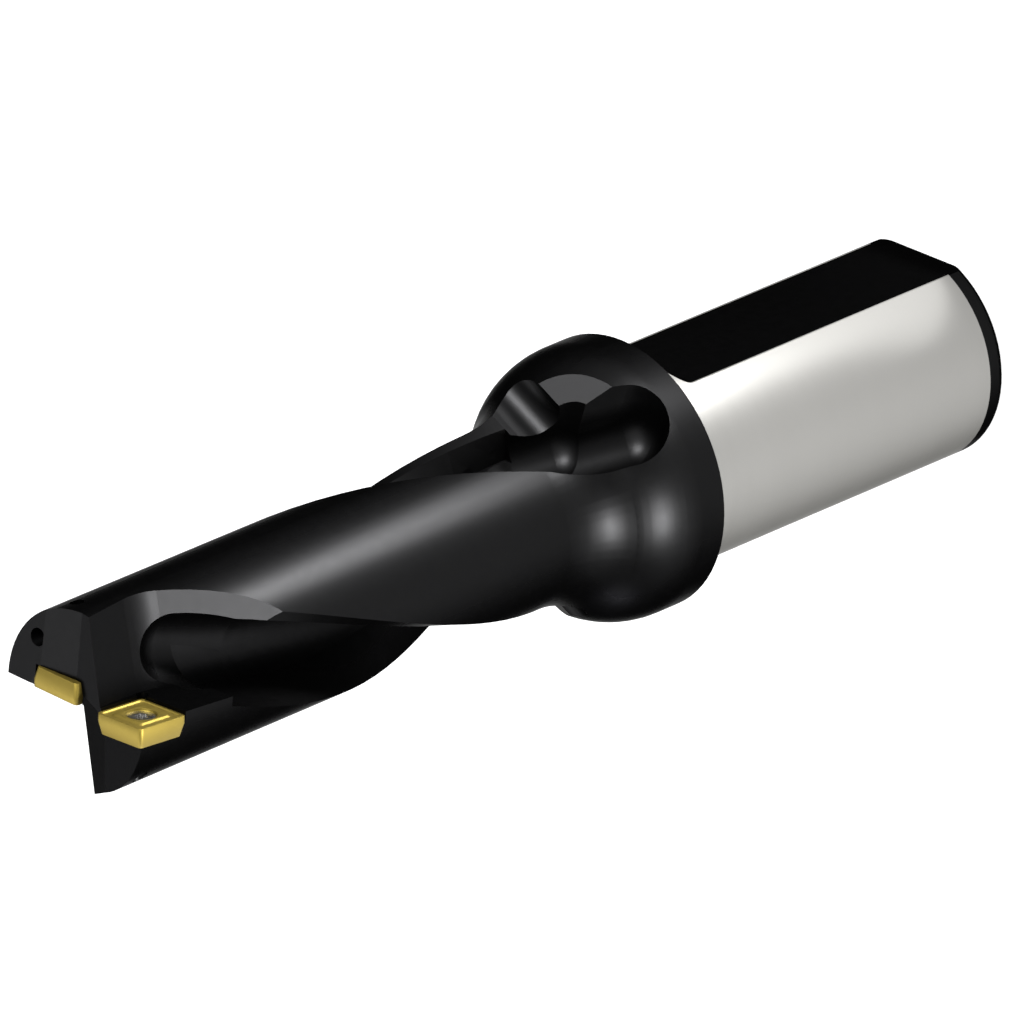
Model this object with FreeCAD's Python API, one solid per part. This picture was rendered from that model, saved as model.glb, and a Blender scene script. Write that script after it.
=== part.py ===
import FreeCAD, Part
import math
import os
from FreeCAD import Placement, Vector

# Indexable drill with two square inserts and a cylindrical shank with one flat.
# The axis is Z. The origin is the centre of the shank's end face, and the tip is at the top.
# The shank's flat faces +X. The peripheral insert lies on the -Y side.
# Points are given by their distance behind the tip, out towards the peripheral insert, and up
# towards the flat. Each flute is made on the peripheral side, and the second is turned by half.

# Lengths along the axis
overall_length = 165.4
shank_length = 60.0
flange_top_height = 64.4

# Diameters
shank_diameter = 32.0
flange_diameter = 40.0
drill_body_diameter = 26.26

# Shank
shank_flat_height = 30.0
shank_flat_length = 54.95
shank_flat_runout_angle = 45.0
shank_flat_runout_radius = 2.5
shank_end_round_length = 1.1
shank_end_round_radius = 1.2
flange_rear_chamfer = 0.3
flange_blend_radius = 15.0

# Coolant: a bore from the shank's end, a slanted branch, and straight runs that follow the land
coolant_bore_diameter = 10.0
coolant_bore_depth = 62.0
coolant_bore_chamfer = 1.0
coolant_hole_diameter = 2.6
coolant_hole_depth = 2.63
coolant_hole_angle = 139.2
coolant_branch_above_flange = 13.0
coolant_runs = 5
coolant_run_overlap = 0.4

# Flutes: one screw motion for both
flute_lead = 206.0
flute_core_radius = 1.65
flute_rim_margin = 1.08
flute_start_back = 17.0
flute_reference_back = 29.0
flute_groove_angle = 5.0
flute_band_angle = 73.6
flute_band_width = 1.63
peripheral_flute_trailing_angle = 34.8
peripheral_flute_leading_angle = -29.5
central_flute_trailing_angle = 39.8
central_flute_leading_angle = -36.5

# Run-out of a flute into the flange: the groove leaves the screw path on a straight one
runout_above_flange = 21.5
runout_end_above_flange = 5.4
runout_end_distance = 15.6
runout_swing = -49.6
runout_cutter_angle = -108.2
runout_widening = 1.9
runout_widening_start = 0.2
runout_widening_end = 0.5

# Step over the run-out: a shelf that goes on from the flute's band, a fillet and a slanted face
shelf_start_above_flange = 14.0
shelf_sweep_overlap = 1.0
shelf_fillet_start_above_flange = 13.0
shelf_fillet_end_above_flange = 9.1
shelf_fillet_end_depth = 13.3
shelf_slant_angle = 53.0

# Tip pocket in front of each insert: its wall stands at the insert's inner edge and leans back
pocket_fillet_radius = 10.0
pocket_wall_step = 0.1
pocket_wall_taper = 5.8
pocket_wall_draft = 11.5
pocket_exit_angle = 26.0
pocket_exit_back = 29.0
peripheral_pocket_exit_out = 12.35
central_pocket_exit_out = 8.5
peripheral_pocket_floor_rise = 0.5
central_pocket_floor_rise = 0.1
tip_groove_start = (13.7, 5.9, 5.05)
tip_groove_join_back = 26.0

# Tip faces, each as a height at the axis and slopes outwards and upwards
central_land_face = (0.753, 0.08, 0.02)
web_upper_face = (0.66, -0.058, 0.032)
outer_land_face = (0.03, 0.0, 0.08)
outer_land_edge = 7.3
outer_land_edge_angle = 6.4
notch_inner_face = (0.246, 0.39, 0.115)
notch_outer_face = (2.475, -0.172, 0.073)
web_split_out = 0.5
web_split_rise = 1.37
web_split_angle = 23.3

# Inserts
insert_side = 8.6
insert_thickness = 3.0
insert_upright_flank = 1.1
insert_clearance_angle = 13.0
insert_corner_radius = 0.6
insert_land_width = 0.4
insert_groove_width = 1.0
insert_groove_depth = 0.22
insert_groove_slope = 0.3
insert_hole_diameter = 3.0
insert_countersink_diameter = 4.4
insert_countersink_angle = 30.0
insert_countersink_rim = 0.25
insert_front_back = -0.5
peripheral_insert_overhang = 0.17
peripheral_insert_axial_tilt = 4.8
peripheral_insert_radial_tilt = 2.3
central_insert_reach = 7.8
central_insert_axial_tilt = 1.0
central_insert_radial_tilt = -1.5

# Insert seats
seat_side_gap = 0.04
seat_outer_gap = 0.15
seat_opening_height = 4.0
seat_relief_diameter = 1.8

# Insert screws
screw_thread_diameter = 2.5
screw_thread_length = 5.0
screw_head_gap = 0.04
screw_head_recess = 0.35
screw_socket_depth = 1.3
screw_socket_core_radius = 0.68
screw_socket_lobe_radius = 0.26
screw_hole_gap = 0.04
screw_exit_diameter = 2.1

# Worked out from the sizes above
shank_radius = shank_diameter / 2
flange_radius = flange_diameter / 2
body_radius = drill_body_diameter / 2
flute_groove_radius = (body_radius - flute_core_radius - flute_rim_margin) / 2
flute_centre_distance = flute_core_radius + flute_groove_radius
coolant_hole_distance = body_radius - coolant_hole_depth
peripheral_insert_reach = body_radius + peripheral_insert_overhang
flat_distance = shank_flat_height - shank_radius
flange_back = overall_length - flange_top_height
coolant_branch_back = flange_back - coolant_branch_above_flange
runout_back = flange_back - runout_above_flange
runout_end_back = flange_back - runout_end_above_flange
shelf_start_back = flange_back - shelf_start_above_flange
shelf_fillet_start_back = flange_back - shelf_fillet_start_above_flange
shelf_fillet_end_back = flange_back - shelf_fillet_end_above_flange
far = 2 * flange_diameter
peripheral_place = (
    peripheral_insert_reach,
    peripheral_insert_axial_tilt,
    peripheral_insert_radial_tilt,
)
central_place = (central_insert_reach, central_insert_axial_tilt, central_insert_radial_tilt)


def at(back, out, up):
    """A point by its distance behind the tip, out towards the peripheral insert, and up."""
    return Vector(up, -out, overall_length - back)


def polar(back, radius, angle):
    """A point by its distance behind the tip, its radius, and its angle from the peripheral side."""
    turn = math.radians(angle)
    return at(back, radius * math.cos(turn), radius * math.sin(turn))


def across(angle):
    """A direction square to the axis, by its angle from the peripheral side."""
    return polar(0, 1, angle) - at(0, 0, 0)


def screw_turn(back):
    """How far the flutes have turned at this distance behind the tip, in degrees."""
    return (flute_reference_back - back) * 360.0 / flute_lead


def face_of(points):
    return Part.Face(Part.makePolygon(points + points[:1]))


def half_turn(shape):
    turned = shape.copy()
    turned.rotate(Vector(0, 0, 0), Vector(0, 0, 1), 180.0)
    return turned


def body_blank():
    """The turned blank: shank with a rounded end, flange and drill part, as one profile."""
    slope = math.acos(1 - (flange_radius - body_radius) / (2 * flange_blend_radius))
    run = flange_blend_radius * math.sin(slope)
    rise = flange_blend_radius * (1 - math.cos(slope))
    half_run = flange_blend_radius * math.sin(slope / 2)
    half_rise = flange_blend_radius * (1 - math.cos(slope / 2))

    def point(radius, height):
        return Vector(radius, 0, height)

    round_centre = shank_radius - shank_end_round_radius
    end_radius = round_centre + math.sqrt(shank_end_round_radius**2 - shank_end_round_length**2)
    round_turn = math.asin(shank_end_round_length / shank_end_round_radius) / 2
    round_middle = point(
        round_centre + shank_end_round_radius * math.cos(round_turn),
        shank_end_round_length - shank_end_round_radius * math.sin(round_turn),
    )
    end = point(end_radius, 0)
    shank_start = point(shank_radius, shank_end_round_length)
    shank_top = point(shank_radius, shank_length)
    rear_inner = point(flange_radius - flange_rear_chamfer, shank_length)
    rear_outer = point(flange_radius, shank_length + flange_rear_chamfer)
    flange_edge = point(flange_radius, flange_top_height)
    convex = point(flange_radius - half_rise, flange_top_height + half_run)
    middle = point(flange_radius - rise, flange_top_height + run)
    concave = point(body_radius + half_rise, flange_top_height + 2 * run - half_run)
    neck = point(body_radius, flange_top_height + 2 * run)
    tip = point(body_radius, overall_length - insert_front_back)
    tip_centre = point(0, overall_length - insert_front_back)
    origin = point(0, 0)
    edges = [
        Part.LineSegment(origin, end),
        Part.Arc(end, round_middle, shank_start),
        Part.LineSegment(shank_start, shank_top),
        Part.LineSegment(shank_top, rear_inner),
        Part.LineSegment(rear_inner, rear_outer),
        Part.LineSegment(rear_outer, flange_edge),
        Part.Arc(flange_edge, convex, middle),
        Part.Arc(middle, concave, neck),
        Part.LineSegment(neck, tip),
        Part.LineSegment(tip, tip_centre),
        Part.LineSegment(tip_centre, origin),
    ]
    profile = Part.Face(Part.Wire([edge.toShape() for edge in edges]))
    return profile.revolve(origin, Vector(0, 0, 1), 360)


def shank_flat():
    """What the flat takes off the shank: a slab that ends in a rounded, slanted run-out."""
    rise = shank_radius
    runout = rise / math.tan(math.radians(shank_flat_runout_angle))

    def point(x, z):
        return Vector(x, -shank_radius, z)

    corner = point(flat_distance, shank_flat_length)
    points = [
        point(flat_distance, -shank_radius),
        corner,
        point(flat_distance + rise, shank_flat_length + runout),
        point(flat_distance + rise, -shank_radius),
    ]
    block = face_of(points).extrude(Vector(0, shank_diameter, 0))
    middle = corner + Vector(0, shank_radius, 0)
    edges = [edge for edge in block.Edges if edge.CenterOfMass.isEqual(middle, 1e-4)]
    block = block.makeFillet(shank_flat_runout_radius, edges)
    below_flange = Part.makeCylinder(far, shank_length + shank_radius, Vector(0, 0, -shank_radius))
    return block.common(below_flange)


def flute_points(trailing_angle, leading_angle):
    """The corners of a flute's section, as out and up at the reference distance."""
    def rim(angle, radius):
        turn = math.radians(angle)
        return Vector(radius * math.cos(turn), radius * math.sin(turn), 0)

    centre = rim(flute_groove_angle, flute_centre_distance)
    band_way = rim(flute_band_angle, 1)
    trailing_rim = rim(trailing_angle, body_radius)
    leading_rim = rim(leading_angle, body_radius)
    band_foot = trailing_rim - band_way * flute_band_width
    band_top = trailing_rim + band_way * flange_blend_radius

    def tangent(point, side):
        away = centre - point
        spread = math.asin(flute_groove_radius / away.Length)
        way = math.atan2(away.y, away.x) + side * spread
        length = math.sqrt(away.Length**2 - flute_groove_radius**2)
        return point + Vector(math.cos(way), math.sin(way), 0) * length

    upper = tangent(band_foot, -1)
    lower = tangent(leading_rim, 1)
    bottom = rim(flute_groove_angle, flute_centre_distance - flute_groove_radius)
    leading_out = leading_rim + (leading_rim - lower).normalize() * flange_blend_radius
    return band_top, band_foot, upper, bottom, lower, leading_out


def flute_section(back, trailing_angle, leading_angle, with_groove):
    """A flute's closed outline in the plane at this distance behind the tip.

    A round groove, a leading wall that leaves it as a tangent, and a trailing wall that ends in
    a narrow steep band along the edge of the land. Without the groove, a straight floor.
    """
    turn = screw_turn(back)

    def place(point):
        angle = math.degrees(math.atan2(point.y, point.x))
        return polar(back, point.Length, turn + angle)

    corners = [place(point) for point in flute_points(trailing_angle, leading_angle)]
    band_top, band_foot, upper, bottom, lower, leading_out = corners
    floor = Part.Arc(upper, bottom, lower) if with_groove else Part.LineSegment(upper, lower)
    edges = [
        Part.LineSegment(band_top, band_foot),
        Part.LineSegment(band_foot, upper),
        floor,
        Part.LineSegment(lower, leading_out),
        Part.LineSegment(leading_out, band_top),
    ]
    return Part.Wire([edge.toShape() for edge in edges])


def screw_sweep(wire, back_from, back_to):
    """Sweeps an outline towards the tip in the flutes' screw motion."""
    spine = Part.makeHelix(flute_lead, back_from - back_to, body_radius)
    spine.translate(Vector(0, 0, overall_length - back_from))
    sweep = Part.BRepOffsetAPI.MakePipeShell(spine)
    sweep.setFrenetMode(True)
    sweep.add(wire)
    sweep.build()
    sweep.makeSolid()
    return sweep.shape()


def ball_groove(start, end):
    """The round groove that a ball-nosed cutter leaves on a straight path."""
    way = end - start
    run = Part.makeCylinder(flute_groove_radius, way.Length, start, way)
    ends = [Part.makeSphere(flute_groove_radius, point) for point in (start, end)]
    return run.fuse(ends)


def cutter_pass(start, end, angle):
    """The walls that the same cutter leaves above that groove, with its axis at this angle."""
    axis = across(angle)
    way = end - start
    side = axis.cross(way).normalize() * flute_groove_radius
    up = axis * far
    slab = face_of([start - side, start + side, start + side + up, start - side + up]).extrude(way)
    shanks = [Part.makeCylinder(flute_groove_radius, far, point, axis) for point in (start, end)]
    return [slab] + shanks


def groove_centre(back):
    return polar(back, flute_centre_distance, flute_groove_angle + screw_turn(back))


def runout_groove():
    """The groove's straight run-out into the flange, with its round end and a wider middle."""
    start = groove_centre(runout_back)
    end_angle = flute_groove_angle + screw_turn(runout_back) + runout_swing
    end = polar(runout_end_back, runout_end_distance, end_angle)
    way = end - start
    step = across(runout_cutter_angle).cross(way).normalize() * runout_widening
    wide_start = start + way * runout_widening_start + step
    wide_end = start + way * runout_widening_end + step
    tools = []
    for path in ((start, end), (wide_start, wide_end)):
        tools += [ball_groove(*path)] + cutter_pass(*path, runout_cutter_angle)
    return tools


def shelf(trailing_angle):
    """The step over the run-out: it carries the band on, and ends in a fillet and a slanted face."""
    floor_way = flute_band_angle + screw_turn(shelf_start_back)
    depth_way = across(floor_way - 90.0)
    along = across(floor_way)
    floor_depth = body_radius * math.cos(math.radians(trailing_angle - flute_band_angle + 90.0))
    run = shelf_fillet_end_back - shelf_fillet_start_back
    rise = shelf_fillet_end_depth - floor_depth
    radius = (run**2 + rise**2) / (2 * rise)
    half = math.asin(run / radius) / 2
    slant = math.radians(shelf_slant_angle)

    def point(back, depth):
        return at(back, 0, 0) + depth_way * depth

    start = point(shelf_start_back, floor_depth)
    foot = point(shelf_fillet_start_back, floor_depth)
    middle = point(
        shelf_fillet_start_back + radius * math.sin(half),
        floor_depth + radius * (1 - math.cos(half)),
    )
    crease = point(shelf_fillet_end_back, shelf_fillet_end_depth)
    top = shelf_fillet_end_depth + flange_diameter
    outer = point(shelf_fillet_end_back + flange_diameter / math.tan(slant), top)
    outer_start = point(shelf_start_back, top)
    edges = [
        Part.LineSegment(start, foot),
        Part.Arc(foot, middle, crease),
        Part.LineSegment(crease, outer),
        Part.LineSegment(outer, outer_start),
        Part.LineSegment(outer_start, start),
    ]
    profile = Part.Face(Part.Wire([edge.toShape() for edge in edges]))
    end_turn = flute_groove_angle + screw_turn(runout_back) + runout_swing - floor_way
    profile.translate(along * (runout_end_distance * math.cos(math.radians(end_turn))))
    return profile.extrude(along * far)


def insert_place(reach, axial_tilt, radial_tilt):
    """An insert's own frame, by how far out it reaches: X to the front, Y outwards, Z up.

    The insert's top is the plane through its origin. It is tilted down towards the shank and
    up towards the rim.
    """
    x_axis = at(-1, 0, math.tan(math.radians(axial_tilt))) - at(0, 0, 0)
    y_hint = at(0, 1, math.tan(math.radians(radial_tilt))) - at(0, 0, 0)
    z_axis = x_axis.cross(y_hint)
    y_axis = z_axis.cross(x_axis)
    for axis in (x_axis, y_axis, z_axis):
        axis.normalize()
    matrix = FreeCAD.Matrix(
        x_axis.x, y_axis.x, z_axis.x, 0,
        x_axis.y, y_axis.y, z_axis.y, 0,
        x_axis.z, y_axis.z, z_axis.z, 0,
        0, 0, 0, 1,
    )
    place = Placement(matrix)
    place.Base = at(insert_front_back + insert_side / 2, reach - insert_side / 2, 0)
    return place


def above_floor(place, rise):
    """All that lies above the pocket's floor, which is parallel to the insert's top."""
    slab = Part.makeBox(2 * far, 2 * far, far, Vector(-far, -far, rise))
    slab.Placement = insert_place(*place)
    return slab


def tip_pocket(place, floor_rise, exit_out):
    """The open pocket in front of an insert: leaning wall, fillet and slanted exit."""
    wall_out = place[0] - insert_side - pocket_wall_step
    taper = math.tan(math.radians(pocket_wall_taper))
    exit_slope = math.tan(math.radians(pocket_exit_angle))
    corner_back = (wall_out - exit_out + exit_slope * pocket_exit_back) / (taper + exit_slope)
    corner_out = wall_out - taper * corner_back
    front_back = -flange_diameter
    far_back = pocket_exit_back + (far - exit_out) / exit_slope
    points = [
        at(front_back, wall_out - taper * front_back, 0),
        at(corner_back, corner_out, 0),
        at(far_back, far, 0),
        at(front_back, far, 0),
    ]
    lean = at(0, -math.tan(math.radians(pocket_wall_draft)), 1) - at(0, 0, 0)
    block = face_of(points).extrude(lean * far)
    block.translate(lean * -flange_radius)
    middle = at(corner_back, corner_out, 0) + lean * (far / 2 - flange_radius)
    edges = [edge for edge in block.Edges if edge.CenterOfMass.isEqual(middle, 1e-4)]
    return block.makeFillet(pocket_fillet_radius, edges).common(above_floor(place, floor_rise))


def flute(trailing_angle, leading_angle):
    """What one flute takes off the blank behind its tip pocket, on the peripheral side."""
    groove = flute_section(runout_back, trailing_angle, leading_angle, True)
    walls = flute_section(shelf_start_back, trailing_angle, leading_angle, False)
    tools = [
        screw_sweep(groove, runout_back, flute_start_back),
        screw_sweep(walls, shelf_start_back, runout_back - shelf_sweep_overlap),
        ball_groove(at(*tip_groove_start), groove_centre(tip_groove_join_back)),
        shelf(trailing_angle),
    ]
    return tools + runout_groove()


def in_front_of(face):
    """All that lies in front of a tip face."""
    height, slope_out, slope_up = face

    def point(out, up):
        return at(height + slope_out * out + slope_up * up, out, up)

    corners = [point(-far, -far), point(far, -far), point(far, far), point(-far, far)]
    return face_of(corners).extrude(Vector(0, 0, far))


def tip_faces():
    """What the tip faces take off: the web and the outer land, and the notch under the web."""
    under = Part.makeBox(far, far, far, Vector(-far, -far, 0))
    under.rotate(Vector(0, 0, 0), Vector(0, 0, 1), -web_split_angle)
    under.translate(at(flange_diameter, web_split_out, web_split_rise))
    beyond = Part.makeBox(2 * far, far, far, Vector(-far, -far, 0))
    beyond.translate(at(flange_diameter, peripheral_insert_reach - insert_side, 0))
    under = under.fuse(beyond)
    outer = Part.makeBox(2 * far, far, far, Vector(-far, 0, 0))
    outer.rotate(Vector(0, 0, 0), Vector(0, 0, 1), -outer_land_edge_angle)
    outer.translate(at(flange_diameter, -outer_land_edge, 0))
    web = in_front_of(central_land_face).common(in_front_of(web_upper_face))
    notch = in_front_of(notch_inner_face).common(in_front_of(notch_outer_face))
    return [web.cut(under), in_front_of(outer_land_face).common(outer), notch.common(under)]


def rounded_square(half, radius, height):
    """A square outline with rounded corners, centred on Z."""
    inner = half - radius
    bulge = inner + radius * math.sqrt(0.5)
    edges = []
    for quarter in range(4):
        turn = FreeCAD.Rotation(Vector(0, 0, 1), 90.0 * quarter)
        side_start = turn.multVec(Vector(half, -inner, height))
        side_end = turn.multVec(Vector(half, inner, height))
        corner_middle = turn.multVec(Vector(bulge, bulge, height))
        corner_end = turn.multVec(Vector(inner, half, height))
        edges.append(Part.LineSegment(side_start, side_end).toShape())
        edges.append(Part.Arc(side_end, corner_middle, corner_end).toShape())
    return Part.Wire(edges)


def frustum(low_half, low, high_half, high, radius):
    wires = [rounded_square(low_half, radius, low), rounded_square(high_half, radius, high)]
    return Part.makeLoft(wires, True, True)


def insert_base_half():
    tapered = insert_thickness - insert_upright_flank
    return insert_side / 2 - tapered * math.tan(math.radians(insert_clearance_angle))


def countersink(gap):
    """The cone under the screw head, and the hole below it, around the insert's axis."""
    top_radius = insert_countersink_diameter / 2 - gap
    hole_radius = insert_hole_diameter / 2 - gap
    cone_depth = (top_radius - hole_radius) / math.tan(math.radians(insert_countersink_angle))
    cone_top = -insert_countersink_rim
    cone = Part.makeCone(hole_radius, top_radius, cone_depth, Vector(0, 0, cone_top - cone_depth))
    return cone, hole_radius, top_radius, cone_top, cone_depth


def insert_solid():
    """A square insert in its own frame: flanks, edge land, chip groove, island and screw hole."""
    half = insert_side / 2
    blank = frustum(half, -insert_upright_flank, half, 0, insert_corner_radius)
    base = frustum(
        insert_base_half(), -insert_thickness, half, -insert_upright_flank, insert_corner_radius
    )
    blank = blank.fuse(base)
    outer = half - insert_land_width
    inner = outer - insert_groove_width
    floor = -insert_groove_depth
    groove = frustum(outer - insert_groove_slope, floor, outer, 0, insert_corner_radius)
    island = frustum(inner, floor, inner - insert_groove_slope, 0, insert_corner_radius)
    blank = blank.cut(groove.cut(island))
    cone, hole_radius, top_radius, cone_top, cone_depth = countersink(0)
    hole = Part.makeCylinder(hole_radius, insert_thickness, Vector(0, 0, -insert_thickness))
    rim = Part.makeCylinder(top_radius, insert_countersink_rim, Vector(0, 0, cone_top))
    return blank.cut([cone, hole, rim]).removeSplitter()


def seat(open_outwards):
    """What an insert's seat takes off the body: open to the front, closed behind and inside."""
    half = insert_side / 2
    outer = insert_side if open_outwards else half + seat_outer_gap

    def outline(flank, height):
        inner = -flank - seat_side_gap
        points = [
            Vector(inner, inner, height),
            Vector(insert_side, inner, height),
            Vector(insert_side, outer, height),
            Vector(inner, outer, height),
        ]
        return Part.makePolygon(points + points[:1])

    low = outline(insert_base_half(), -insert_thickness)
    high = outline(half, -insert_upright_flank)
    base = Part.makeLoft([low, high], True, True)
    upper = Part.Face(high).extrude(Vector(0, 0, seat_opening_height + insert_upright_flank))
    relief = Part.makeCylinder(
        seat_relief_diameter / 2,
        insert_thickness + seat_opening_height,
        Vector(-half, -half, -insert_thickness),
    )
    return [base, upper, relief]


def screw_hole():
    """The screw's bore in the body, and the narrower hole that runs on through the land."""
    depth = screw_thread_length + screw_hole_gap
    bore = Part.makeCylinder(
        screw_thread_diameter / 2 + screw_hole_gap, depth, Vector(0, 0, -insert_thickness - depth)
    )
    through = Part.makeCylinder(screw_exit_diameter / 2, far, Vector(0, 0, -insert_thickness - far))
    return [bore, through]


def six_lobe_socket(top):
    """A six-lobe socket, sunk from this height."""
    low = Vector(0, 0, top - screw_socket_depth)
    core = Part.makeCylinder(screw_socket_core_radius, screw_socket_depth, low)
    lobes = []
    for index in range(6):
        turn = FreeCAD.Rotation(Vector(0, 0, 1), 60.0 * index)
        centre = low + turn.multVec(Vector(screw_socket_core_radius, 0, 0))
        lobes.append(Part.makeCylinder(screw_socket_lobe_radius, screw_socket_depth, centre))
    return core.fuse(lobes).removeSplitter()


def screw_solid():
    """A countersunk insert screw in the insert's frame."""
    cone, hole_radius, top_radius, cone_top, cone_depth = countersink(screw_head_gap)
    top = -screw_head_recess
    below_top = Part.makeBox(far, far, far, Vector(-far / 2, -far / 2, top - far))
    cone = cone.common(below_top)
    end = -insert_thickness - screw_thread_length
    thread = Part.makeCylinder(
        screw_thread_diameter / 2, cone_top - cone_depth / 2 - end, Vector(0, 0, end)
    )
    screw = cone.fuse(thread).cut(six_lobe_socket(top))
    tip_edges = [
        edge for edge in screw.Edges if edge.CenterOfMass.isEqual(Vector(0, 0, end), 1e-4)
    ]
    return screw.makeChamfer(screw_head_recess, tip_edges).removeSplitter()


def placed(shape, place, turned):
    """A shape moved from an insert's own frame to its place on the drill."""
    moved = shape.copy()
    moved.Placement = insert_place(*place)
    return half_turn(moved) if turned else moved


def coolant_point(back):
    """The middle of the coolant channel, which turns with the land."""
    turn = coolant_hole_angle + screw_turn(back) - screw_turn(0)
    return polar(back, coolant_hole_distance, turn)


def coolant_channel():
    """The bore, the slanted branch and the channel's straight runs along the land to the tip."""
    bore = Part.makeCylinder(coolant_bore_diameter / 2, coolant_bore_depth)
    mouth_radius = coolant_bore_diameter / 2 + coolant_bore_chamfer
    mouth = Part.makeCone(mouth_radius, coolant_bore_diameter / 2, coolant_bore_chamfer)
    run_length = coolant_branch_back / coolant_runs
    points = [Vector(0, 0, coolant_bore_depth - coolant_bore_diameter / 2)]
    points += [coolant_point(coolant_branch_back - run_length * i) for i in range(coolant_runs + 1)]
    runs = []
    for start, end in zip(points, points[1:]):
        way = end - start
        length = way.Length + coolant_run_overlap
        runs.append(Part.makeCylinder(coolant_hole_diameter / 2, length, start, way))
    last_way = points[-1] - points[-2]
    runs.append(Part.makeCylinder(coolant_hole_diameter / 2, flange_diameter, points[-1], last_way))
    return [bore, mouth] + runs


def drill_body():
    tools = [shank_flat()]
    tools += flute(peripheral_flute_trailing_angle, peripheral_flute_leading_angle)
    tools.append(
        tip_pocket(peripheral_place, peripheral_pocket_floor_rise, peripheral_pocket_exit_out)
    )
    second = flute(central_flute_trailing_angle, central_flute_leading_angle)
    second.append(tip_pocket(central_place, central_pocket_floor_rise, central_pocket_exit_out))
    tools += [half_turn(tool) for tool in second]
    tools += tip_faces()
    for place, turned in ((peripheral_place, False), (central_place, True)):
        tools += [placed(shape, place, turned) for shape in seat(not turned) + screw_hole()]
    tools += coolant_channel()
    body = body_blank()
    for tool in tools:
        body = body.cut(tool)
    solids = sorted(body.Solids, key=lambda solid: solid.Volume)
    print("pieces after cutting:", [round(solid.Volume, 2) for solid in solids])
    return solids[-1].removeSplitter()


def main():
    os.makedirs("parts", exist_ok=True)
    insert = insert_solid()
    screw = screw_solid()
    shapes = {
        "drill_body": drill_body(),
        "peripheral_insert": placed(insert, peripheral_place, False),
        "central_insert": placed(insert, central_place, True),
        "peripheral_screw": placed(screw, peripheral_place, False),
        "central_screw": placed(screw, central_place, True),
    }
    for name, shape in shapes.items():
        print(name, len(shape.Solids), "solid", shape.isValid(), round(shape.Volume, 2), "mm3")
        shape.exportStep(os.path.join("parts", name + ".step"))


main()
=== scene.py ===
# %% [markdown]
# # An indexable drill
#
# This drill is one steel body with two hard square inserts screwed to its tip. The body is black
# and satin, the shank is ground bright where a holder grips it, and the inserts are coated in a
# gold colour. The shapes that carry load come ready from CAD. This lesson gives them their
# finishes, models the small details that a plain solid leaves out, and sets up the studio.

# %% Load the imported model
import math
import bpy
import bmesh
from mathutils import Matrix, Vector


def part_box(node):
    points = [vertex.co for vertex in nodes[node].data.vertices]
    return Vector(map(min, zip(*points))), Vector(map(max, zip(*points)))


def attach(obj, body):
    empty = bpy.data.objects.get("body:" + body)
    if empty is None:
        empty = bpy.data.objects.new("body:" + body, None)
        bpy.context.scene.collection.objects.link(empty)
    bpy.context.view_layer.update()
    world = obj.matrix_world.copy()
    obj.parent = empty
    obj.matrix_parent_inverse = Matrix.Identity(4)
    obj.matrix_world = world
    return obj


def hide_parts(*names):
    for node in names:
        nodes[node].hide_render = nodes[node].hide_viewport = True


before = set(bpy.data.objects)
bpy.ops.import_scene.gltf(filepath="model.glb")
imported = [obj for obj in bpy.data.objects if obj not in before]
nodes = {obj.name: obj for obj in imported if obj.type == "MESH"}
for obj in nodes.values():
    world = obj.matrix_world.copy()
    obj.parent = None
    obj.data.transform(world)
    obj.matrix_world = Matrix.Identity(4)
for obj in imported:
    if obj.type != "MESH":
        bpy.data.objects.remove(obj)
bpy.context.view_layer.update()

for name in sorted(nodes):
    low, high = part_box(name)
    size = [round(1000 * (end - start), 1) for start, end in zip(low, high)]
    print(name, "measures", size, "mm")

# %% [markdown]
# ## The camera
#
# The picture shows the drill lying across the frame, tip at the lower left. The model itself
# stands upright on its shank, so the camera takes the turn instead: its own axes are written as
# three directions of the model, and its place as steps along them from the tip. A long lens far
# away keeps the shank and the tip nearly the same size, as in the picture.

# %% The camera's place and turn
tip_height = 0.1654
camera_right = Vector((0.0, -0.70711, -0.70711))
camera_up = Vector((0.90631, 0.29884, -0.29884))
camera_back = Vector((0.42262, -0.64086, 0.64086))
right_by, up_by, back_by = 0.05911, 0.02575, 2.5719
camera_place = Vector((0.0, 0.0, tip_height))
camera_place += right_by * camera_right + up_by * camera_up + back_by * camera_back

camera_data = bpy.data.cameras.new("camera")
camera_data.sensor_width = 36.0
camera_data.lens = 668.43
camera_data.clip_end = 100.0
camera = bpy.data.objects.new("camera", camera_data)
bpy.context.scene.collection.objects.link(camera)
turn = Matrix((camera_right, camera_up, camera_back)).transposed()
camera.matrix_world = Matrix.Translation(camera_place) @ turn.to_4x4()
bpy.context.scene.camera = camera
print("camera stands", round(camera_place.length, 2), "m away")

# %% [markdown]
# ## Helpers for materials
#
# Each finish is one Principled shader. What is the same all over goes straight onto its sockets.
# What changes over the surface is linked into it. A node tree could be built by hand, node by
# node, but the same few steps come back all the time, so they are helpers here.

# %% Helpers for materials
def new_material(name, **values):
    """A material with one Principled shader, whose sockets take these plain values."""
    material = bpy.data.materials.new(name)
    material.use_nodes = True
    shader = material.node_tree.nodes["Principled BSDF"]
    for socket, value in values.items():
        shader.inputs[socket.replace("_", " ")].default_value = value
    return material, material.node_tree, shader


def add_node(tree, kind, place=(0, 0), **values):
    node = tree.nodes.new(kind)
    node.location = place
    for key, value in values.items():
        setattr(node, key, value)
    return node


def feed(tree, value, socket):
    """Gives a socket a link from another socket, or else a plain number or colour."""
    if isinstance(value, bpy.types.NodeSocket):
        tree.links.new(value, socket)
    else:
        socket.default_value = value


def math_node(tree, operation, *values, clamp=False):
    """A Math node on sockets or numbers. Returns its output."""
    node = add_node(tree, "ShaderNodeMath", operation=operation, use_clamp=clamp)
    for socket, value in zip(node.inputs, values):
        feed(tree, value, socket)
    return node.outputs[0]


print("material helpers are ready")

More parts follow.
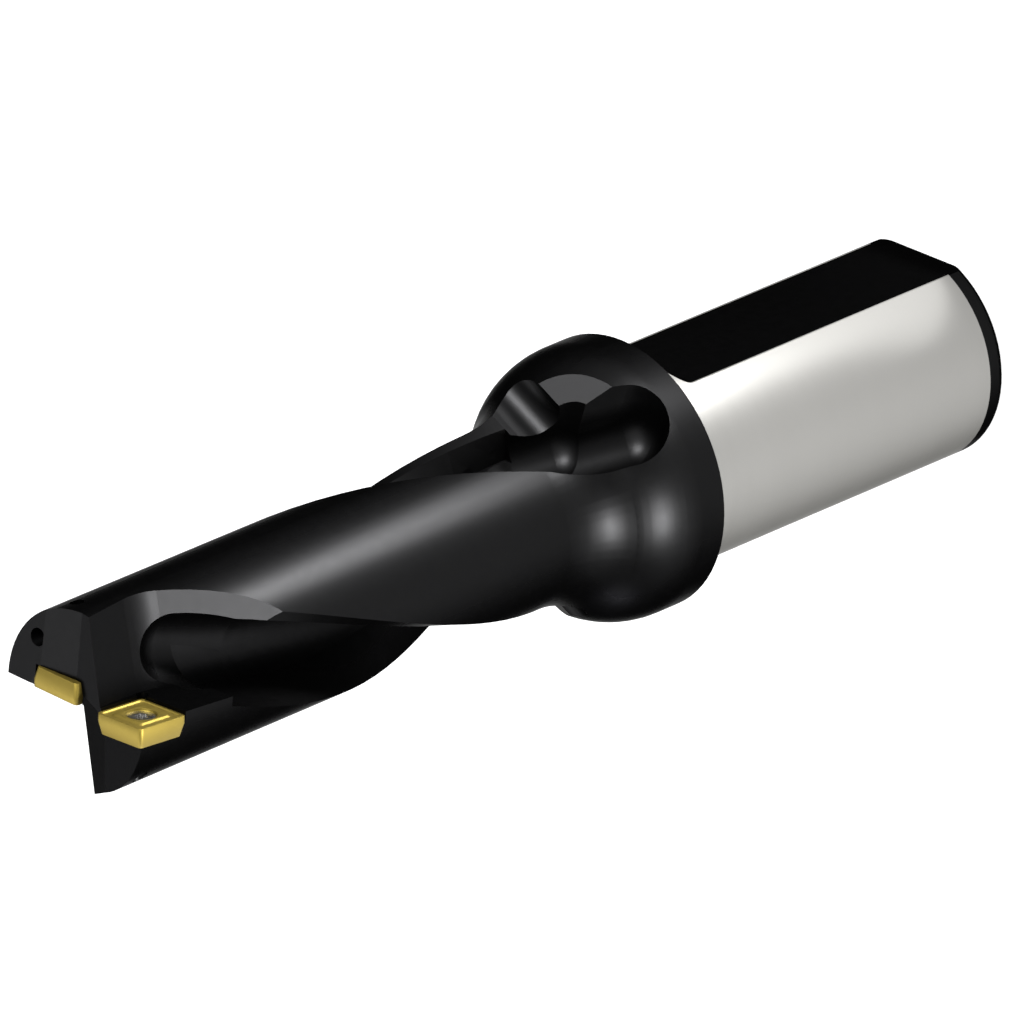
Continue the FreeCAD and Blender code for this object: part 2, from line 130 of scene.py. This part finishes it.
# %% [markdown]
# ## Fine grain
#
# No metal surface is perfectly even. A black coating has a faint grain, and a coated insert is
# slightly mottled. An image could show that, but it would have to be laid over every curved face.
# So one node group makes both from the place of each point: a fine noise for the height of the
# surface, and a slower one that shifts the gloss. Each material gives it its own values.

# %% The grain group
slow_share = 0.08
noise_middle = 0.5


def build_grain_group():
    group = bpy.data.node_groups.new("fine_grain", "ShaderNodeTree")
    for name in ("Scale", "Gloss", "Spread"):
        group.interface.new_socket(name, in_out="INPUT", socket_type="NodeSocketFloat")
    for name in ("Height", "Roughness"):
        group.interface.new_socket(name, in_out="OUTPUT", socket_type="NodeSocketFloat")
    inputs = add_node(group, "NodeGroupInput", (-800, 0))
    outputs = add_node(group, "NodeGroupOutput", (500, 0))
    place = add_node(group, "ShaderNodeTexCoord", (-800, -300))

    fine = add_node(group, "ShaderNodeTexNoise", (-400, 100))
    fine.inputs["Detail"].default_value = 2.0
    group.links.new(place.outputs["Object"], fine.inputs["Vector"])
    group.links.new(inputs.outputs["Scale"], fine.inputs["Scale"])
    group.links.new(fine.outputs["Fac"], outputs.inputs["Height"])

    slow = add_node(group, "ShaderNodeTexNoise", (-400, -200))
    slow.inputs["Detail"].default_value = 3.0
    slow_scale = math_node(group, "MULTIPLY", inputs.outputs["Scale"], slow_share)
    group.links.new(slow_scale, slow.inputs["Scale"])
    group.links.new(place.outputs["Object"], slow.inputs["Vector"])
    centred = math_node(group, "SUBTRACT", slow.outputs["Fac"], noise_middle)
    shift = math_node(group, "MULTIPLY", centred, inputs.outputs["Spread"])
    rough = math_node(group, "ADD", shift, inputs.outputs["Gloss"], clamp=True)
    group.links.new(rough, outputs.inputs["Roughness"])
    return group


grain_group = build_grain_group()
print("grain group has", len(grain_group.nodes), "nodes")

# %% Grain and bump in a material
bump_strength = 0.5


def add_grain(tree, scale, gloss, spread):
    """Places the grain group. Gloss is its middle roughness, and spread how far that shifts."""
    node = add_node(tree, "ShaderNodeGroup", (-600, -200), node_tree=grain_group)
    node.inputs["Scale"].default_value = scale
    node.inputs["Gloss"].default_value = gloss
    node.inputs["Spread"].default_value = spread
    return node


def add_bump(tree, shader, height, distance):
    bump = add_node(tree, "ShaderNodeBump", (-200, -400))
    bump.inputs["Distance"].default_value = distance
    bump.inputs["Strength"].default_value = bump_strength
    tree.links.new(height, bump.inputs["Height"])
    tree.links.new(bump.outputs["Normal"], shader.inputs["Normal"])


print("grain and bump can be placed in a material")

# %% [markdown]
# ## The body: black, and ground bright on the shank
#
# The whole body is one piece of steel. It is blackened first, and then the shank alone is ground
# to size, which takes the black off its cylinder. The flat, the rounded end and the flange stay
# black. The bright zone could be a second material on chosen faces, but the CAD mesh is left as it
# is. So a mask asks, at every point, whether it lies on the ground cylinder, by its height and by
# its distance from the axis.

# %% Where the shank is ground
ground_from = 0.0029
ground_to = 0.0600
ground_radius = 0.01588


def ground_mask(tree, place):
    """Is 1 on the shank's ground cylinder, and 0 elsewhere."""
    parts = add_node(tree, "ShaderNodeSeparateXYZ", (-1600, 0))
    tree.links.new(place.outputs["Object"], parts.inputs[0])
    x, y, z = parts.outputs
    x_squared = math_node(tree, "MULTIPLY", x, x)
    y_squared = math_node(tree, "MULTIPLY", y, y)
    radius = math_node(tree, "SQRT", math_node(tree, "ADD", x_squared, y_squared))
    on_cylinder = math_node(tree, "GREATER_THAN", radius, ground_radius)
    above = math_node(tree, "GREATER_THAN", z, ground_from)
    below = math_node(tree, "LESS_THAN", z, ground_to)
    between = math_node(tree, "MULTIPLY", above, below)
    return math_node(tree, "MULTIPLY", between, on_cylinder)


print("ground from", 1000 * ground_from, "to", 1000 * ground_to, "mm up the shank")

# %% [markdown]
# ## Turning lines
#
# Grinding a turning shank leaves rings around it, about as fine as a hair. They could be cut into
# the mesh, but that would take millions of faces. A noise that is squeezed along the shank's axis,
# and left wide around it, gives the same soft streaks to the gloss and the height.

# %% The turning lines
line_squeeze = (40.0, 40.0, 9000.0)
line_gloss_least = 0.31
line_gloss_spread = 0.12


def turning_lines(tree, place):
    stretch = add_node(tree, "ShaderNodeMapping", (-1400, -500))
    stretch.inputs["Scale"].default_value = line_squeeze
    tree.links.new(place.outputs["Object"], stretch.inputs["Vector"])
    lines = add_node(tree, "ShaderNodeTexNoise", (-1200, -500))
    lines.inputs["Scale"].default_value = 1.0
    lines.inputs["Detail"].default_value = 2.0
    tree.links.new(stretch.outputs["Vector"], lines.inputs["Vector"])
    return lines.outputs["Fac"]


print("the lines are", line_squeeze[2] / line_squeeze[0], "times finer along the shank")

# %% [markdown]
# ## One material for both finishes
#
# The thin black layer behaves as the steel under it does: it scatters no light of its own, and
# shows only a faint, soft mirror image. So both finishes are metal, and the mask changes only
# colour, gloss and grain: an even grain on the black, and the turning lines on the ground shank.
# A metal mirrors more at a glancing angle. The tint holds that back, so that the edges stay black.

# %% The body's material
body_black = (0.0080, 0.0080, 0.0082, 1.0)
ground_steel = (0.232, 0.229, 0.219, 1.0)
glancing_tint = (0.25, 0.25, 0.25, 1.0)
body_bump = 0.0000015


def mix_by(tree, mask, kind, first, second, place):
    """The first value where the mask is 0, and the second where it is 1."""
    node = add_node(tree, "ShaderNodeMix", place, data_type=kind)
    tree.links.new(mask, node.inputs["Factor"])
    feed(tree, first, node.inputs["A"])
    feed(tree, second, node.inputs["B"])
    return node.outputs["Result"]


def build_body_material():
    material, tree, shader = new_material(
        "black_and_ground_steel", Metallic=1.0, Specular_Tint=glancing_tint
    )
    place = add_node(tree, "ShaderNodeTexCoord", (-1800, 0))
    ground = ground_mask(tree, place)
    lines = turning_lines(tree, place)
    line_gloss = math_node(tree, "MULTIPLY", lines, line_gloss_spread)
    line_gloss = math_node(tree, "ADD", line_gloss, line_gloss_least)
    grain = add_grain(tree, scale=9000.0, gloss=0.38, spread=0.06)
    black_gloss, black_height = grain.outputs["Roughness"], grain.outputs["Height"]

    colour = mix_by(tree, ground, "RGBA", body_black, ground_steel, (-400, 200))
    gloss = mix_by(tree, ground, "FLOAT", black_gloss, line_gloss, (-400, 0))
    height = mix_by(tree, ground, "FLOAT", black_height, lines, (-400, -300))
    tree.links.new(colour, shader.inputs["Base Color"])
    tree.links.new(gloss, shader.inputs["Roughness"])
    add_bump(tree, shader, height, body_bump)
    return material


body_material = build_body_material()
nodes["drill_body"].data.materials.clear()
nodes["drill_body"].data.materials.append(body_material)
print("body material has", len(body_material.node_tree.nodes), "nodes")

# %% [markdown]
# ## The inserts' gold coating, and the screws' steel
#
# The gold colour is a thin, hard coating. It behaves as a metal, which tints what it mirrors. A
# yellow paint would look flat here, because its colour wouldn't change with what stands around it.
# The coating is matt, so its gloss is set soft, and a fine grain keeps it from looking like
# plastic. The screw's steel is made the same way, smoother and without the tint.

# %% The insert's and the screw's materials
insert_gold = (0.165, 0.124, 0.026, 1.0)
screw_steel = (0.34, 0.335, 0.325, 1.0)
metal_bump = 0.000002


def build_metal(name, colour, scale, gloss, spread):
    """A metal of one colour, with a fine grain."""
    material, tree, shader = new_material(name, Base_Color=colour, Metallic=1.0)
    grain = add_grain(tree, scale, gloss, spread)
    tree.links.new(grain.outputs["Roughness"], shader.inputs["Roughness"])
    add_bump(tree, shader, grain.outputs["Height"], metal_bump)
    return material


gold_material = build_metal("gold_coating", insert_gold, scale=12000.0, gloss=0.54, spread=0.10)
screw_material = build_metal("screw_steel", screw_steel, scale=15000.0, gloss=0.28, spread=0.10)
print("materials so far:", [gold_material.name, screw_material.name, body_material.name])

# %% [markdown]
# ## Where the inserts sit
#
# Each insert lies in its seat with a small tilt: down towards the shank and up towards the rim, so
# that only its front edge cuts. It is easier to model it flat, around its own centre, with its
# top at height zero, and to move it into its seat at the end. The second insert sits on the other
# side of the axis, so its place is turned by half a circle.

# %% The seats
mm = 0.001
insert_side = 8.6 * mm
insert_thickness = 3.0 * mm
seat_height = 161.6 * mm


def seat_place(reach, axial_tilt, radial_tilt):
    """An insert's place, by its reach from the axis: X to the front, Y outwards, Z off its top."""
    x_axis = Vector((math.tan(math.radians(axial_tilt)), 0.0, 1.0)).normalized()
    y_hint = Vector((math.tan(math.radians(radial_tilt)), -1.0, 0.0))
    z_axis = x_axis.cross(y_hint).normalized()
    y_axis = z_axis.cross(x_axis)
    turn = Matrix((x_axis, y_axis, z_axis)).transposed().to_4x4()
    return Matrix.Translation((0.0, insert_side / 2 - reach, seat_height)) @ turn


half_circle = Matrix.Rotation(math.pi, 4, "Z")
seats = {
    "peripheral": seat_place(reach=13.3 * mm, axial_tilt=4.8, radial_tilt=2.3),
    "central": half_circle @ seat_place(reach=7.8 * mm, axial_tilt=1.0, radial_tilt=-1.5),
}
for side, seat in seats.items():
    print(side, "seat at", [round(1000 * c, 1) for c in seat.translation], "mm")

# %% [markdown]
# ## Modelling by hand, in code
#
# By hand, a piece starts as a box or a bar. Faces and edges are picked, and then drawn out,
# narrowed or cut. The helpers do the same here: they pick parts by their place or by the way they
# face, because no mouse can point at them. Whatever was selected before is dropped first, because
# an operator acts on all that is selected.

# %% Helpers to start a piece and to pick its parts
nearly_straight = 0.99


def start_piece(name):
    """Names the primitive that was just added, opens it in edit mode and selects all of it."""
    piece = bpy.context.object
    piece.name = name
    bpy.ops.object.mode_set(mode="EDIT")
    bpy.ops.mesh.select_all(action="SELECT")
    return piece


def add_bar(name, points, radius, length):
    """Starts an upright round bar, with its middle at the origin."""
    bpy.ops.object.select_all(action="DESELECT")
    bpy.ops.mesh.primitive_cylinder_add(vertices=points, radius=radius, depth=length)
    return start_piece(name)


def select_parts(piece, kind, wanted):
    """Selects the faces, edges or points for which wanted(part) is true."""
    bpy.ops.mesh.select_mode(type={"faces": "FACE", "edges": "EDGE", "verts": "VERT"}[kind])
    bpy.ops.mesh.select_all(action="DESELECT")
    mesh = bmesh.from_edit_mesh(piece.data)
    chosen = [part for part in getattr(mesh, kind) if wanted(part)]
    for part in chosen:
        part.select_set(True)
    bmesh.update_edit_mesh(piece.data)
    return len(chosen)


def is_top(face):
    return face.normal.z > nearly_straight


def is_bottom(face):
    return face.normal.z < -nearly_straight


print("pieces can be started, and their parts picked")

# %% Helpers to shape what is selected
def widen(factor):
    """Scales what is selected, away from the piece's own axis."""
    bpy.ops.transform.resize(value=(factor, factor, 1.0), center_override=(0, 0, 0))


def raise_by(height):
    bpy.ops.transform.translate(value=(0, 0, height))


def extrude_up(height):
    bpy.ops.mesh.extrude_region_move(TRANSFORM_OT_translate={"value": (0, 0, height)})


print("selected parts can be widened, raised and extruded")

# %% Helpers to cut, soften and place a piece
bevelled_above = math.radians(20.0)
smooth_below = math.radians(35.0)


def cut_away(piece, tool):
    """Takes the tool's shape out of the piece, and removes the tool."""
    cut = piece.modifiers.new("cut", "BOOLEAN")
    cut.operation = "DIFFERENCE"
    cut.solver = "EXACT"
    cut.object = tool
    bpy.ops.object.select_all(action="DESELECT")
    piece.select_set(True)
    bpy.context.view_layer.objects.active = piece
    bpy.ops.object.modifier_apply(modifier=cut.name)
    bpy.data.objects.remove(tool)


def soften_edges(piece, width):
    """Rounds every sharp edge a little, so that it catches the light as a real one does."""
    bevel = piece.modifiers.new("soften", "BEVEL")
    bevel.width = width
    bevel.segments = 2
    bevel.limit_method = "ANGLE"
    bevel.angle_limit = bevelled_above
    bpy.ops.object.modifier_apply(modifier=bevel.name)
    bpy.ops.object.shade_smooth_by_angle(angle=smooth_below)


def put_in_seats(model, kind, material):
    """Copies the model into both seats, each copy standing for its CAD node."""
    for side, seat in seats.items():
        piece = bpy.data.objects.new(side + "_" + kind + "_finished", model.data.copy())
        bpy.context.scene.collection.objects.link(piece)
        piece.data.transform(seat)
        piece.data.materials.clear()
        piece.data.materials.append(material)
        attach(piece, "root")
        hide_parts(side + "_" + kind)
        print(piece.name, "has", len(piece.data.polygons), "faces")
    bpy.data.objects.remove(model)


print("pieces can be cut, softened and put in their seats")

# %% [markdown]
# ## One insert
#
# An insert is pressed from powder and fired. Its flanks stand upright for about a third of its
# height and then slope in, so that they don't rub in the hole. Its corners are rounded, or they
# would chip. A bevel would round all its edges alike, so the forms are made one by one: a box
# with bevelled corners, a cut across the flanks, and a narrower foot.

# %% The insert's block
corner_radius = 0.6 * mm
corner_steps = 8
upright_flank = 1.1 * mm
foot_half = 3.861 * mm


def insert_block():
    bpy.ops.object.select_all(action="DESELECT")
    bpy.ops.mesh.primitive_cube_add(size=insert_side, location=(0, 0, 0))
    block = start_piece("insert_model")
    flatten = insert_thickness / insert_side
    bpy.ops.transform.resize(value=(1.0, 1.0, flatten), center_override=(0, 0, 0))
    raise_by(-insert_thickness / 2)

    def is_upright(edge):
        start, end = edge.verts
        return abs(start.co.z - end.co.z) > insert_thickness / 2

    corners = select_parts(block, "edges", is_upright)
    bpy.ops.mesh.bevel(offset=corner_radius, segments=corner_steps, affect="EDGES")
    bpy.ops.mesh.select_all(action="SELECT")
    bpy.ops.mesh.bisect(plane_co=(0, 0, -upright_flank), plane_no=(0, 0, 1))
    select_parts(block, "faces", is_bottom)
    widen(foot_half / (insert_side / 2))
    print("block with", corners, "rounded corners")
    return block


insert_model = insert_block()

# %% [markdown]
# ## The insert's top
#
# The top has a narrow land along the cutting edge, then a groove that curls the chip, and an
# island that holds the screw. All of them follow the insert's outline, so they are rings of the
# top, each drawn in from the one before and then sunk or raised. An inset would fold over itself
# at the small corners, so each ring is an extrusion by nothing, scaled in.

# %% The insert's land, chip groove and island
top_rings = (
    (3.90 * mm, 0.0),
    (3.75 * mm, -0.165 * mm),
    (3.60 * mm, -0.055 * mm),
    (2.90 * mm, 0.0),
    (2.60 * mm, 0.22 * mm),
)

select_parts(insert_model, "faces", is_top)
ring_before = insert_side / 2
for ring, height in top_rings:
    extrude_up(0.0)
    widen(ring / ring_before)
    raise_by(height)
    ring_before = ring
bpy.ops.object.mode_set(mode="OBJECT")
print("insert has", len(insert_model.data.polygons), "faces before its hole")

# %% [markdown]
# ## The insert's screw hole
#
# The screw pulls the insert down with a cone, so the hole widens to the same cone and ends in a
# short straight rim. Such a hole could be drawn into the top's faces, but the rings have no round
# edge to start from. So a tool of the hole's shape is made, and taken out of the insert.

# %% The insert's screw hole
hole_radius = 1.5 * mm
countersink_radius = 2.2 * mm
countersink_rim = 0.25 * mm
cone_depth = 1.212 * mm
overshoot = 1.0 * mm
round_points = 64
insert_edge = 0.035 * mm


def hole_tool():
    """A round tool: the hole, the cone above it, and a short straight rim at the top."""
    length = insert_thickness + overshoot
    tool = add_bar("hole_tool", round_points, hole_radius, length)
    raise_by(-countersink_rim - cone_depth - length / 2)
    select_parts(tool, "faces", is_top)
    extrude_up(cone_depth)
    widen(countersink_radius / hole_radius)
    extrude_up(countersink_rim + overshoot)
    bpy.ops.object.mode_set(mode="OBJECT")
    return tool


cut_away(insert_model, hole_tool())
soften_edges(insert_model, insert_edge)
put_in_seats(insert_model, "insert", gold_material)

# %% [markdown]
# ## One insert screw
#
# The screw's cone pulls the insert against its seat, and its shank goes down into the body. The
# screw starts as a round bar with a chamfered end, and its top is widened to the cone. The cone
# could be a second primitive, but a bar that is drawn out stays one closed skin.

# %% The screw's head and shank
screw_radius = 1.25 * mm
screw_end = -8.0 * mm
head_bottom = -1.462 * mm
head_top = -0.35 * mm
head_low_radius = 1.46 * mm
head_radius = 2.10 * mm
end_chamfer = 0.35 * mm
close = 0.01 * mm


def screw_blank():
    length = head_bottom - screw_end
    screw = add_bar("screw_model", round_points, screw_radius, length)
    raise_by(screw_end + length / 2)

    def is_at_end(edge):
        return all(abs(vert.co.z - screw_end) < close for vert in edge.verts)

    select_parts(screw, "edges", is_at_end)
    bpy.ops.mesh.bevel(offset=end_chamfer, segments=1, affect="EDGES")
    select_parts(screw, "faces", is_top)
    extrude_up(0.0)
    widen(head_low_radius / screw_radius)
    extrude_up(head_top - head_bottom)
    widen(head_radius / head_low_radius)
    bpy.ops.object.mode_set(mode="OBJECT")
    print("screw blank has", len(screw.data.polygons), "faces")
    return screw


screw_model = screw_blank()

# %% [markdown]
# ## The screw's socket
#
# A key with six rounded lobes turns the screw. The socket could be built from twelve arcs that
# meet smoothly, but a circle with six waves is nearly the same outline. That is how its tool is
# made: on a round bar, the points at the same angle within a lobe move in or out together.

# %% The screw's socket
socket_depth = 1.3 * mm
socket_radius = 0.81 * mm
socket_wave = 0.13 * mm
lobes = 6
socket_points = 72
lobe_angle = math.radians(360.0 / lobes)
steps_in_half_lobe = socket_points // (2 * lobes)
close_angle = 0.01
screw_edge = 0.03 * mm


def socket_tool():
    tool = add_bar("socket_tool", socket_points, socket_radius, 2 * socket_depth)
    raise_by(head_top)
    for step in range(steps_in_half_lobe + 1):
        wave = math.radians(360.0 / socket_points * step)

        def on_wave(vert):
            angle = math.atan2(vert.co.y, vert.co.x) % lobe_angle
            return abs(min(angle, lobe_angle - angle) - wave) < close_angle

        select_parts(tool, "verts", on_wave)
        widen(1.0 + socket_wave / socket_radius * math.cos(lobes * wave))
    bpy.ops.object.mode_set(mode="OBJECT")
    return tool


cut_away(screw_model, socket_tool())
soften_edges(screw_model, screw_edge)
put_in_seats(screw_model, "screw", screw_material)

# %% [markdown]
# ## The floor and the world
#
# The drill stands on a plain pale floor. The floor is a middle grey under the lamps, so that it
# throws little light back at the black body and keeps the drill's shadow. What the camera and the
# mirroring metal see of it is made white by a glow that only their rays meet. A white floor under
# strong lamps would look the same, but it would light the black body from below.

# %% The floor
white = (1.0, 1.0, 1.0, 1.0)
floor_grey = (0.22, 0.22, 0.22, 1.0)
floor_side = 12.0
floor_glow = 0.85


def build_floor():
    bpy.ops.mesh.primitive_plane_add(size=floor_side, location=(0, 0, 0))
    floor = bpy.context.object
    floor.name = "studio_floor"
    material, tree, shader = new_material(
        "pale_floor", Base_Color=floor_grey, Roughness=1.0, Specular_IOR_Level=0.0,
        Emission_Color=white,
    )
    rays = add_node(tree, "ShaderNodeLightPath", (-800, 400)).outputs
    seen = math_node(tree, "MAXIMUM", rays["Is Camera Ray"], rays["Is Glossy Ray"])
    seen = math_node(tree, "MAXIMUM", seen, rays["Is Transmission Ray"])
    glow = math_node(tree, "MULTIPLY", seen, floor_glow)
    tree.links.new(glow, shader.inputs["Emission Strength"])
    floor.data.materials.append(material)
    print(floor.name, "is", floor_side, "m wide")


build_floor()

# %% The world
world_strength = 0.25

world = bpy.data.worlds.new("studio_world")
world.use_nodes = True
sky = world.node_tree.nodes["Background"]
sky.inputs["Color"].default_value = white
sky.inputs["Strength"].default_value = world_strength
bpy.context.scene.world = world
print("the world shines at", world_strength)

# %% [markdown]
# ## The soft panels
#
# A black satin body shows almost only what it mirrors, so each lamp stands in the direction that
# one of its forms mirrors towards the camera. A large soft lamp overhead lights everything. The
# left one draws the highlights on the flange and beside the pocket, and the right one lights the
# slanted wall and the shelf at the flange. The one behind lights the faces of the tip, and the one
# at the back the underside of the flange and the front of the inserts.

# %% The soft panels
drill_middle = Vector((0.0, 0.0, 0.11))


def way_to(turn, rise=0.0):
    """A direction: its turn from X towards Y, and its rise above the level, in degrees."""
    turn, rise = math.radians(turn), math.radians(rise)
    level = math.cos(rise)
    return Vector((math.cos(turn) * level, math.sin(turn) * level, math.sin(rise)))


def add_lamp(name, width, height, brightness):
    """A flat lamp. Its power grows with its area, so a larger one looks no brighter."""
    lamp = bpy.data.lights.new(name, "AREA")
    lamp.shape = "RECTANGLE"
    lamp.size, lamp.size_y = width, height
    lamp.energy = brightness * math.pi * width * height
    panel = bpy.data.objects.new(name, lamp)
    bpy.context.scene.collection.objects.link(panel)
    panel.visible_camera = False
    return panel


def add_panel(name, turn, rise, distance, size, brightness):
    """A lamp that faces the drill, by the direction in which it is seen from there."""
    panel = add_lamp(name, size[0], size[1], brightness)
    way = way_to(turn, rise)
    aim = (-way).to_track_quat("-Z", "Y").to_matrix().to_4x4()
    panel.matrix_world = Matrix.Translation(drill_middle + way * distance) @ aim


add_panel("overhead", turn=-51.0, rise=63.0, distance=1.45, size=(1.2, 1.2), brightness=3.0)
add_panel("left", turn=-103.0, rise=5.0, distance=0.8, size=(0.28, 0.11), brightness=190.0)
add_panel("right", turn=0.0, rise=40.0, distance=1.0, size=(0.3, 0.3), brightness=90.0)
add_panel("behind", turn=150.0, rise=46.0, distance=1.2, size=(1.5, 0.5), brightness=8.0)
add_panel("back", turn=-175.0, rise=-1.0, distance=0.9, size=(0.12, 0.2), brightness=110.0)

# %% [markdown]
# ## The panels on the floor
#
# The camera looks down on the drill, so its upright cylinders mirror what lies low, at the level
# of the floor. No lamp that stands in the room could draw their long highlights. They come from
# two flat panels that lie just over the floor and shine up: a near one for the shank, and one
# farther out for the land between the flutes.

# %% The panels on the floor
floor_gap = 0.002


def add_floor_panel(name, turn, near, distant, width, brightness):
    """A lamp that lies over the floor and shines up, along a line out from the drill."""
    panel = add_lamp(name, distant - near, width, brightness)
    way = way_to(turn)
    across = Vector((-way.y, way.x, 0.0))
    axes = Matrix((way, -across, Vector((0.0, 0.0, -1.0)))).transposed()
    place = way * (near + distant) / 2 + Vector((0.0, 0.0, floor_gap))
    panel.matrix_world = Matrix.Translation(place) @ axes.to_4x4()


add_floor_panel(
    "shank_highlight", turn=-8.0, near=0.018, distant=0.075, width=0.05, brightness=1.6
)
add_floor_panel(
    "land_highlight", turn=-22.0, near=0.13, distant=0.30, width=0.06, brightness=86.0
)

# %% [markdown]
# ## Colour management
#
# Blender can bend bright colours towards white, as film does. That is kind to photographs, but
# here the gold and the grey should come out as they were mixed. The Standard transform shows them
# as they are.

# %% Colour management
bpy.context.scene.view_settings.view_transform = "Standard"
print("view transform is", bpy.context.scene.view_settings.view_transform)

# %% [markdown]
# ## Finish
#
# The last cell prints a line to show that the script has run to its end.

# %% Finish
print("the scene is built")
